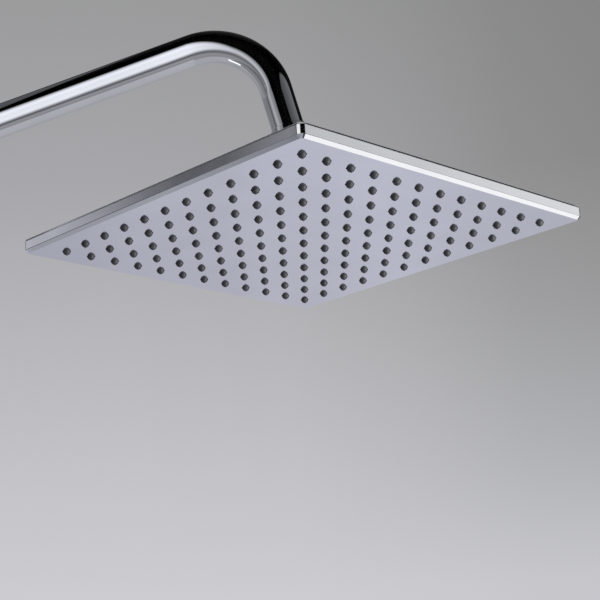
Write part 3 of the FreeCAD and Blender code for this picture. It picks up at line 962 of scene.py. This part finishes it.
def sky_times(first, second):
    """Multiply two colours of the sky."""
    return sky_mix(first, second, 1.0, "MULTIPLY")


# %% [markdown]
# The camera sees only a backdrop. It is a pale grey that brightens downwards, and it is darker on the
# right than on the left.

# %% Backdrop
left_backdrop = sky_ramp("Z", [
    (-0.3, (0.52, 0.52, 0.56)), (0.0, (0.62, 0.62, 0.66)), (0.09, (0.61, 0.61, 0.64)),
    (0.164, (0.555, 0.55, 0.575)), (0.247, (0.475, 0.475, 0.495)), (0.334, (0.39, 0.39, 0.41)),
    (0.43, (0.332, 0.332, 0.338)), (0.7, 0.28)])
right_backdrop = sky_ramp("Z", [
    (-0.3, (0.50, 0.50, 0.54)), (0.0, (0.60, 0.60, 0.65)), (0.09, (0.555, 0.555, 0.59)),
    (0.164, (0.425, 0.43, 0.45)), (0.247, (0.328, 0.328, 0.335)), (0.334, 0.252), (0.43, 0.235),
    (0.7, 0.21)])
to_right = sky_ramp("Y", [(-0.2, 1.0), (-0.14, 0.82), (-0.075, 0.42), (0.0, 0.10), (0.1, 0.0)])
backdrop = sky_mix(left_backdrop, right_backdrop, to_right)
print("backdrop nodes:", len(sky.nodes))

# %% [markdown]
# The chrome mirrors the rest of the room. The spray face looks to the far side, which is bright. The
# camera's side and the ceiling are black and give the arm its dark band. The left edge of the head
# mirrors the narrow band between bright and black, so that band has grades of its own, and a dark
# strip far on the left draws the line between this edge and its bevel. The right falls off to black,
# so that only panels show there. Dull surfaces are lit by an even grey, as in a white tent.

# %% Mirrored room
strip_shade = (0.02, 0.02, 0.02)
tent_shade = (0.6138, 0.62, 0.6262)
undimmed = (1.0, 1.0, 1.0)
bright_side = sky_ramp("Z", [
    (-1, (0.34, 0.35, 0.39)), (-0.70, (0.20, 0.205, 0.23)), (-0.665, (0.225, 0.23, 0.262)),
    (-0.645, (0.30, 0.31, 0.34)), (-0.62, (0.345, 0.358, 0.39)), (-0.57, (0.325, 0.335, 0.37)),
    (-0.5, (0.40, 0.41, 0.47)), (-0.38, (0.50, 0.508, 0.585)), (-0.27, (0.45, 0.457, 0.527)),
    (0.0, (0.575, 0.58, 0.655)), (0.12, (0.60, 0.605, 0.66)), (0.3, (0.475, 0.48, 0.53)),
    (0.36, (0.35, 0.35, 0.38)), (0.45, 0.13), (0.7, 0.045), (1, 0.01)])
dark_side = sky_ramp("Z", [
    (-1, (0.42, 0.43, 0.47)), (-0.9, (0.30, 0.31, 0.34)), (-0.66, 0.27), (-0.42, 0.36),
    (-0.36, 0.004), (1, 0.0)])
to_bright = sky_ramp("X", [
    (-0.25, 0.0), (-0.2, 0.45), (-0.06, 0.62), (-0.015, 0.70), (0.004, 0.62), (0.025, 0.28),
    (0.055, 0.195), (0.075, 0.335), (0.1, 0.64), (0.13, 0.95), (0.17, 1.0), (0.2, 1.0)])
right_fall = sky_ramp("Y", [
    (-1, 0.03), (-0.45, 0.06), (-0.2, 0.96), (-0.12, 1.04), (-0.075, 1.13), (-0.05, 1.11),
    (-0.025, 1.06), (0.01, 1.06), (0.03, 0.99), (0.088, 0.975), (0.112, 0.91), (0.136, 0.876),
    (0.2, 0.90), (0.3, 1.0)])
left_dim = sky_ramp("Y", [
    (0, 1.0), (0.06, 1.0), (0.14, 0.5), (0.3, 0.44), (0.80, 0.42), (0.88, 1.0), (1, 1.0)])
above_face = sky_ramp("Z", [(-0.2, 0.0), (-0.1, 0.0), (0.1, 1.0), (0.2, 1.0)])
strip_across = sky_ramp("Y", [(0.7, 0.0), (0.80, 0.0), (0.88, 1.0), (1, 1.0)])
strip_upright = sky_ramp("Z", [
    (-0.6, 0.0), (-0.5, 0.0), (-0.42, 1.0), (-0.1, 1.0), (0.0, 0.65), (0.17, 0.65), (0.25, 0.0),
    (0.3, 0.0)])
mirrored = sky_times(sky_mix(dark_side, bright_side, to_bright), right_fall)
mirrored = sky_times(mirrored, sky_mix(undimmed, left_dim, above_face))
mirrored = sky_mix(mirrored, strip_shade, sky_times(strip_across, strip_upright))
ray_kind = add_node(sky, "LightPath").outputs
shown = sky_mix(tent_shade, backdrop, ray_kind["Is Camera Ray"])
shown = sky_mix(shown, mirrored, ray_kind["Is Glossy Ray"])
feed(shown, sky.nodes["Background"].inputs["Color"])
print("world nodes:", len(sky.nodes))

# %% [markdown]
# ## Studio lights
# Lights for chrome are shapes first: each one is a rectangle whose place decides where its white
# patch falls. Two panels on the right whiten the right edge of the head and its bevel, one makes the
# glint on the near corner, and the others brighten the face, the top and the nozzles. The right edge
# grows lighter towards its far end, so its panel grows brighter along its width. Light linking keeps
# each panel on the pieces that it is meant for.

# %% Panel helpers
head_y = -0.39


def linked(name, pieces):
    """A collection that names the pieces that a light falls on."""
    group = bpy.data.collections.new(name)
    for piece in pieces:
        group.objects.link(piece)
    return group


def panel(name, group, place, size, radiance, target=None):
    """Rectangular light whose power is radiance times area times pi.

    Without a target it looks level towards the axis of the head."""
    light = bpy.data.lights.new(name, "AREA")
    light.shape = "RECTANGLE"
    light.size, light.size_y = size
    light.energy = radiance * size[0] * size[1] * math.pi
    lamp = bpy.data.objects.new(name, light)
    look = Vector(target or (0, head_y, place[2])) - Vector(place)
    lamp.location = place
    lamp.rotation_euler = look.to_track_quat("-Z", "Y").to_euler()
    lamp.visible_camera = False
    lamp.light_linking.receiver_collection = group
    bpy.context.scene.collection.objects.link(lamp)
    return lamp


def fade_across(light, first, last):
    """Let a panel's light grow in a straight line along its width, between two (place, level) stops."""
    light.use_nodes = True
    tree = light.node_tree
    spot = add_node(tree, "NewGeometry").outputs["Parametric"]
    along = add_node(tree, "SeparateXYZ", {"Vector": spot}).outputs["X"]
    ends = {"From Min": first[0], "To Min": first[1], "From Max": last[0], "To Max": last[1]}
    level = add_node(tree, "MapRange", {"Value": along, **ends}).outputs["Result"]
    feed(level, tree.nodes["Emission"].inputs["Strength"])


# %% [markdown]
# Each panel has its group, place, size and radiance. The pieces at the wall are kept out of all
# reflections, because the edge of the head would mirror them.

# %% Panels
head_middle = (0, head_y, -0.08)
right_side = (-0.1, -0.5, -0.08)
near_corner = (-0.21, head_y, -0.075)
arm_group = linked("arm_pieces", [arm, stud, flange])
face_group = linked("face_pieces", [face])
cover_group = linked("cover_pieces", [cover, ring_nut, socket, lock_nut])
nozzle_group = linked("nozzle_pieces", [nozzles])
right_edge = panel("right_edge", face_group, (-0.1, -1.6, 0.25), (1.4, 0.9), 0.66, right_side)
fade_across(right_edge.data, (0.44, 0.86), (0.71, 1.14))
panel("right_bevel", face_group, (0.5, -1.5, -1.1), (1.6, 1.2), 1.0, right_side)
panel("corner_glint", face_group, (-0.976, 0.253, 0.19), (0.95, 0.6), 0.9, near_corner)
panel("face_front", face_group, (-2.5, head_y, -0.9), (7.0, 1.4), 0.45)
panel("top_light", cover_group, (0, head_y, 1.6), (2.4, 2.4), 0.42, (0, head_y, 0))
panel("cover_front", cover_group, (-2.6, head_y, 1.5), (7.0, 3.0), 0.45)
panel("cover_right", cover_group, (2.3, -2.3, 1.0), (3.0, 2.0), 0.45)
panel("cover_left", cover_group, (-1.18, -2.9, 1.2), (2.2, 2.4), 0.45)
panel("cover_back", cover_group, (0, 3.0, 0.3), (3.0, 0.5), 0.40)
panel("nozzle_light", nozzle_group, (-0.5, -1.8, -0.9), (1.0, 1.0), 12.5, head_middle)
for wall_piece in (flange, nipple, frame["nodes"]["flange_gasket"], frame["nodes"]["flange_ring"]):
    wall_piece.visible_glossy = False
print("lights:", len(bpy.data.lights))

# %% [markdown]
# ## A sleeve of light for the arm
# The bands on the arm keep their width along the slope and slip to the inner side of the bend. No
# flat panel does that. A card bent along the arm does: a sleeve round the same centre line, with a
# glow that depends on the angle about the line and on how far the bend has turned. Three lists give
# the bands on the slope, in the bend and on the drop as (angle, glow) stops, and stops with the same
# number blend into each other. As far as the last stop the sleeve also hides the room behind it, and
# beyond that it only adds light.

# %% Bands of the sleeve
sleeve_angles = np.linspace(-176, 105, 226)
bend_share = 0.34
drop_share = 0.8
slope_glow = np.array([
    (-160, 0.37), (-118, 0.46), (-80, 0.48), (-72, 0.25), (-64, 0.33), (-58, 0.31), (-48, 0.09),
    (-42, 0.27), (-29, 0.98), (-6, 0.93), (10, 1.05), (21, 0.65), (30, 0)])
bend_glow = np.array([
    (-160, 0.34), (-124, 0.35), (-102, 0.34), (-92, 0.27), (-80, 0.265), (-66, 0.25), (-51, 0.14),
    (-45, 0.26), (-33, 0.61), (-29, 0.65), (-22, 0.55), (-15, 0.28), (-7, 0)])
drop_glow = np.array([
    (-160, 0.28), (-133, 0.25), (-117, 0.22), (-105, 0.215), (-97, 0.22), (-87, 0.23), (-76, 0.08),
    (-69, 0.24), (-60, 0.44), (-55, 0.46), (-43, 0.28), (-31.5, 0.24), (-28.5, 0)])
cover_soft = 4
patch_middle = 57
patch_half = 31
patch_levels = (0.065, 0.182)
patch_soft = 0.08
tongue_start = 0.825
tongue_round = 0.12
tongue_soft = 0.03
edge_level = 0.085
edge_reach = (-0.29, -0.158)
edge_angles = (105, 48)
edge_soft = 3
wall_level = 0.50
wall_reach = -0.13
wall_soft = 0.03


def rise(value, start, length):
    """0 up to a start, then a straight line that gets to 1 after a length and stays there."""
    return np.clip((value - start) / length, 0, 1)


def sleeve_stops(share):
    """Angles and levels of the bands at every share of the turn: straight lines between three sets."""
    early = rise(share, 0, bend_share)[:, None, None]
    late = rise(share, bend_share, drop_share - bend_share)[:, None, None]
    stops = slope_glow + early * (bend_glow - slope_glow) + late * (drop_glow - bend_glow)
    return stops[:, None, :, 0], stops[:, None, :, 1]


def sleeve_glow(share, reach):
    """Glow at every station and angle, and how far the sleeve hides what lies behind it.

    Each stretch between two stops adds its rise times how far the angle has got through it. The dim
    patch on the outer side is a rounded tongue that ends where the share falls below a parabola of
    the angle. A faint glow along the top grows wider towards the wall, and close to the wall the
    whole sleeve glows, so that the tube's end shows light in the rim of the head."""
    place, level = sleeve_stops(share)
    passed = rise(sleeve_angles[:, None], place[..., :-1], np.diff(place))
    bands = level[..., 0] + (passed * np.diff(level)).sum(-1)
    hides = rise(place[..., -1] - sleeve_angles, 0, cover_soft)
    across = (sleeve_angles - patch_middle) / patch_half
    tongue = rise(share[:, None] - tongue_round * across ** 2, tongue_start, tongue_soft)
    patch = np.interp(across, (-1, 1), patch_levels) * rise(1 - np.abs(across), 0, patch_soft)
    edge_from = np.interp(reach, edge_reach, edge_angles)[:, None]
    bands += patch * tongue + edge_level * rise(sleeve_angles, edge_from, edge_soft)
    near_wall = rise(reach[:, None], wall_reach, wall_soft)
    return np.maximum(bands * (1 - near_wall), wall_level * near_wall), hides * (1 - near_wall)


# %% [markdown]
# The glow and the cover are stored on the points of the card, and its material reads them as
# attributes. A card gives light and blocks the view only on its inner side. From outside it is clear.

# %% Glow of a card
glow_tint = (0.915, 0.935, 1.0, 1)
card_finish, card_shader = new_finish("sleeve_glow")
card_tree = card_finish.node_tree
card_tree.nodes.remove(card_shader)
inner_side = add_node(card_tree, "NewGeometry").outputs["Backfacing"]


def card_math(operation, first, second):
    """One step of arithmetic in the card's material."""
    step = add_node(card_tree, "Math", {0: first, 1: second})
    step.operation = operation
    return step.outputs["Value"]


def from_inside(name):
    """A value stored on the card's points, counted only where the card is seen from its inner side."""
    stored = add_node(card_tree, "Attribute")
    stored.attribute_name = name
    return card_math("MULTIPLY", stored.outputs["Fac"], inner_side)


card_light = add_node(card_tree, "Emission", {"Color": glow_tint, "Strength": from_inside("glow")})
card_open = card_math("SUBTRACT", 1, from_inside("cover"))
card_clear = add_node(card_tree, "BsdfTransparent", {"Color": card_open})
card_sum = add_node(card_tree, "AddShader", {0: card_light.outputs[0], 1: card_clear.outputs[0]})
feed(card_sum.outputs[0], card_tree.nodes["Material Output"].inputs["Surface"])


def glow_card(name, points, glow, cover):
    """A sheet of points that lights the arm alone, with its glow and its cover stored on the points."""
    spots, quads = grid_sheet(points, close_rows=False, close_columns=False)
    card = studio_sheet(name, (spots, quads[:, ::-1]), card_finish)
    for layer, values in (("glow", glow), ("cover", cover)):
        stored = card.data.attributes.new(layer, "FLOAT", "POINT")
        stored.data.foreach_set("value", values.astype(np.float32).ravel())
    card.light_linking.receiver_collection = arm_group
    card.visible_camera = False
    card.visible_diffuse = False
    card.visible_shadow = False
    print(name, "glows up to", round(float(glow.max()), 3))


# %% [markdown]
# The sleeve follows the arm's own stations, with a few more between them, and starts behind the wall.

# %% Light sleeve
sleeve_radius = 40 * mm
sleeve_fineness = 3
sleeve_start = 0.2
left_side = (-1, 0, 0)
coarse = np.concatenate([[(sleeve_start, 0, 0)], np.column_stack([path, heading])])
coarse_stations = np.arange(len(coarse))
stations = np.linspace(0, coarse_stations[-1], sleeve_fineness * coarse_stations[-1] + 1)
sleeve_y, sleeve_z, sleeve_heading = [np.interp(stations, coarse_stations, row) for row in coarse.T]
sleeve_line = upright(sleeve_y, sleeve_z)
sleeve_side = upright(np.sin(sleeve_heading), np.cos(sleeve_heading))
turned_share = rise(-sleeve_heading, -rise_angle, rise_angle - drop_angle)
sleeve_out = about_line(np.radians(sleeve_angles), sleeve_side, left_side)
glow_card("light_sleeve", sleeve_line[:, None] + sleeve_radius * sleeve_out,
          *sleeve_glow(turned_share, sleeve_y))

# %% [markdown]
# Inside the bend the tube looks along the sleeve and would mirror the white band of the slope. A grey
# veil across the sleeve takes its place there, and a small bright card gives the bend its glint.

# %% Veil and glint
veil_share = 0.06
veil_radii = (29 * mm, 40 * mm)
veil_angles = np.linspace(-140, -55, 60)
veil_glow = [(-140, 0.28), (-92, 0.25), (-69, 0.13), (-57, 0.26)]
glint_share = 0.38
glint_radii = (18 * mm, 31.2 * mm)
glint_angles = (-79, -97.5)
glint_fan = np.linspace(-4.5, 4.5, 7)
glint_level = 1.5


def cross_card(name, share, radii, rows, levels):
    """A card across the sleeve where the bend has turned by a share: one row of angles at each radius."""
    station = int(np.flatnonzero(turned_share < share)[-1]) + 1
    side = sleeve_side[station:station + 1]
    out = np.concatenate([about_line(np.radians(row), side, left_side) for row in rows])
    glow = np.tile(levels, (len(rows), 1))
    points = sleeve_line[station] + np.array(radii)[:, None, None] * out
    glow_card(name, points, glow, np.ones_like(glow))


veil_levels = np.interp(veil_angles, *np.array(veil_glow).T)
cross_card("bend_veil", veil_share, veil_radii, [veil_angles, veil_angles], veil_levels)
glint_rows = [angle + glint_fan for angle in glint_angles]
cross_card("bend_glint", glint_share, glint_radii, glint_rows, np.full_like(glint_fan, glint_level))

# %% [markdown]
# ## Camera
# The picture was taken from below the head, square to the arm, with a long lens. Heading, pitch and
# roll are set as three turns of a camera that first looks along the floor.

# %% Camera and colour
camera_place = (-1.18882, -0.37461, -0.45636)
camera_heading = math.radians(-90.537)
camera_pitch = math.radians(15.334)
camera_roll = math.radians(-3.659)
camera_lens = 98.974
camera_sensor = 36
camera_data = bpy.data.cameras.new("camera")
camera_data.lens = camera_lens
camera_data.sensor_width = camera_sensor
camera = bpy.data.objects.new("camera", camera_data)
level_look = Matrix.Rotation(camera_heading, 4, "Z") @ Matrix.Rotation(math.pi / 2 + camera_pitch, 4, "X")
camera.matrix_world = Matrix.Translation(camera_place) @ level_look @ Matrix.Rotation(camera_roll, 4, "Z")
bpy.context.scene.collection.objects.link(camera)
bpy.context.scene.camera = camera
bpy.context.scene.view_settings.view_transform = "Standard"
camera_look = camera.matrix_world.to_3x3() @ Vector((0, 0, -1))
print("camera looks along", [round(value, 4) for value in camera_look])
